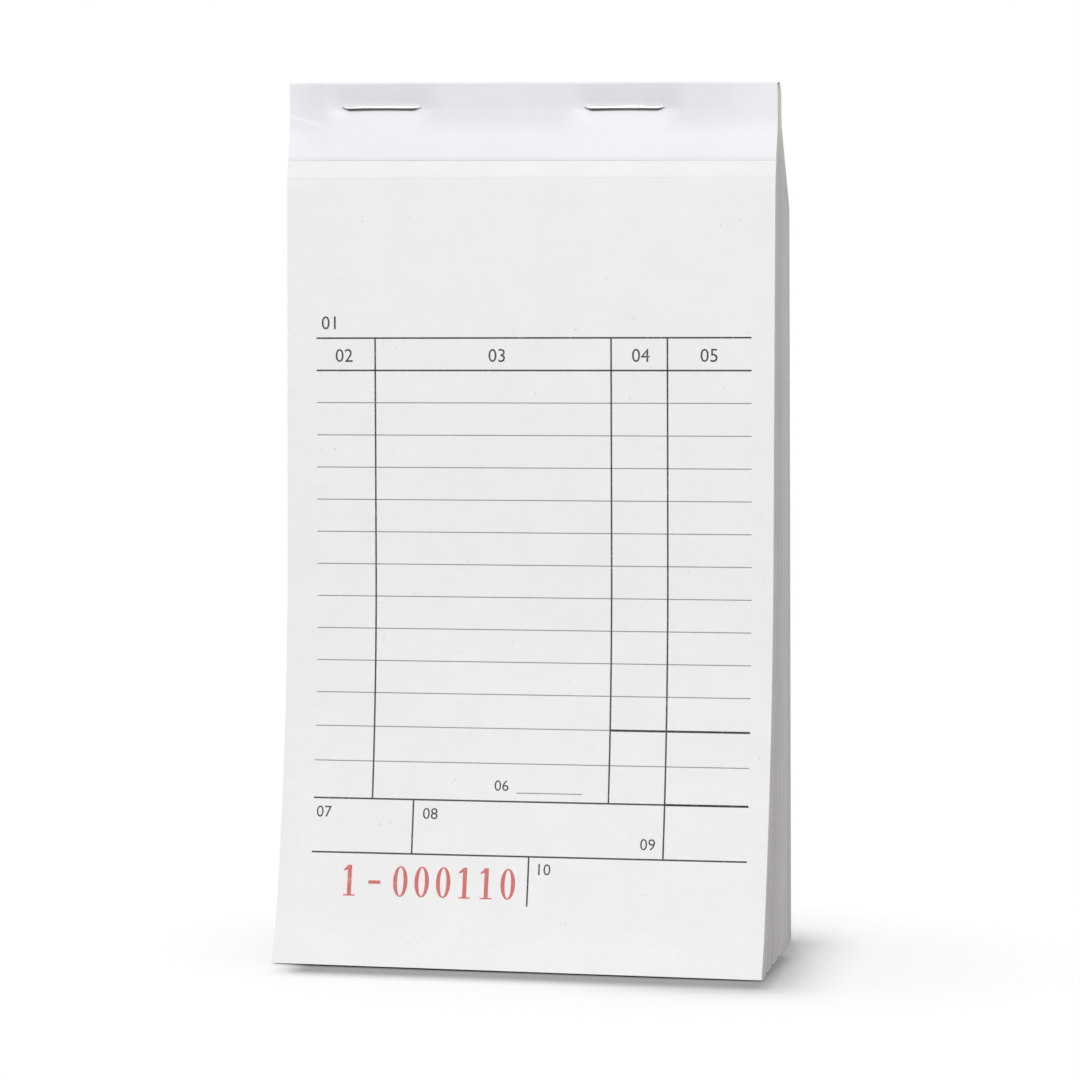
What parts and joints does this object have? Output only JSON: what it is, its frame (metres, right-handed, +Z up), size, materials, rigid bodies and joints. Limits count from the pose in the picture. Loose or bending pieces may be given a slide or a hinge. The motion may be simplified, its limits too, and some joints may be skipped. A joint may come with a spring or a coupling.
{
  "type": "duplicate receipt book",
  "caption": "Small duplicate receipt book standing on its splayed leaves: stapled card cover folded over the head, back panel that swings open, front leaves that turn up at a perforation.",
  "frame": {"origin": "on the table, in the middle of the outline's width and depth", "axes": "+Z up to the stapled head, +X to the right along the printed lines, the printed face looks along -Y"},
  "size_m": [0.08, 0.0316, 0.1415],
  "materials": {
    "original_paper": "smooth white copy paper",
    "duplicate_paper": "smooth warm white copy paper",
    "cover_card": "smooth cool white thin card",
    "staple_wire": "bright galvanised wire"
  },
  "bodies": {
    "book": {"cover_head": "cover_card", "duplicate_01_stub": "duplicate_paper", "duplicate_02_stub": "duplicate_paper", "duplicate_03": "duplicate_paper", "duplicate_04": "duplicate_paper", "duplicate_05": "duplicate_paper", "duplicate_06": "duplicate_paper", "duplicate_07": "duplicate_paper", "duplicate_08": "duplicate_paper", "duplicate_09": "duplicate_paper", "duplicate_10": "duplicate_paper", "duplicate_11": "duplicate_paper", "duplicate_12": "duplicate_paper", "duplicate_13": "duplicate_paper", "duplicate_14": "duplicate_paper", "duplicate_15": "duplicate_paper", "duplicate_16": "duplicate_paper", "duplicate_17": "duplicate_paper", "duplicate_18": "duplicate_paper", "duplicate_19": "duplicate_paper", "duplicate_20": "duplicate_paper", "duplicate_21": "duplicate_paper", "duplicate_22": "duplicate_paper", "duplicate_23": "duplicate_paper", "duplicate_24": "duplicate_paper", "duplicate_25": "duplicate_paper", "original_01_stub": "original_paper", "original_02_stub": "original_paper", "original_03": "original_paper", "original_04": "original_paper", "original_05": "original_paper", "original_06": "original_paper", "original_07": "original_paper", "original_08": "original_paper", "original_09": "original_paper", "original_10": "original_paper", "original_11": "original_paper", "original_12": "original_paper", "original_13": "original_paper", "original_14": "original_paper", "original_15": "original_paper", "original_16": "original_paper", "original_17": "original_paper", "original_18": "original_paper", "original_19": "original_paper", "original_20": "original_paper", "original_21": "original_paper", "original_22": "original_paper", "original_23": "original_paper", "original_24": "original_paper", "original_25": "original_paper", "staple_left": "staple_wire", "staple_right": "staple_wire"},
    "cover_back": {"cover_back": "cover_card"},
    "original_01": {"original_01_leaf": "original_paper"},
    "duplicate_01": {"duplicate_01_leaf": "duplicate_paper"},
    "original_02": {"original_02_leaf": "original_paper"},
    "duplicate_02": {"duplicate_02_leaf": "duplicate_paper"}
  },
  "joints": [
    {"name": "duplicate_02_turn", "type": "hinge", "parent": "book", "child": "duplicate_02", "pos_m": [0, 0.00066, 0.12599], "axis": [-1, 0, 0], "range_deg": [0, 20]},
    {"name": "original_02_turn", "type": "hinge", "parent": "duplicate_02", "child": "original_02", "pos_m": [0, 0.00066, 0.12599], "axis": [-1, 0, 0], "range_deg": [0, 25]},
    {"name": "duplicate_01_turn", "type": "hinge", "parent": "original_02", "child": "duplicate_01", "pos_m": [0, 0.00066, 0.12599], "axis": [-1, 0, 0], "range_deg": [0, 40]},
    {"name": "original_01_turn", "type": "hinge", "parent": "duplicate_01", "child": "original_01", "pos_m": [0, 0.00066, 0.12599], "axis": [-1, 0, 0], "range_deg": [0, 90]},
    {"name": "cover_back_swing", "type": "hinge", "parent": "book", "child": "cover_back", "pos_m": [0, 0.01579, 0.12049], "axis": [1, 0, 0], "range_deg": [0, 165]}
  ]
}
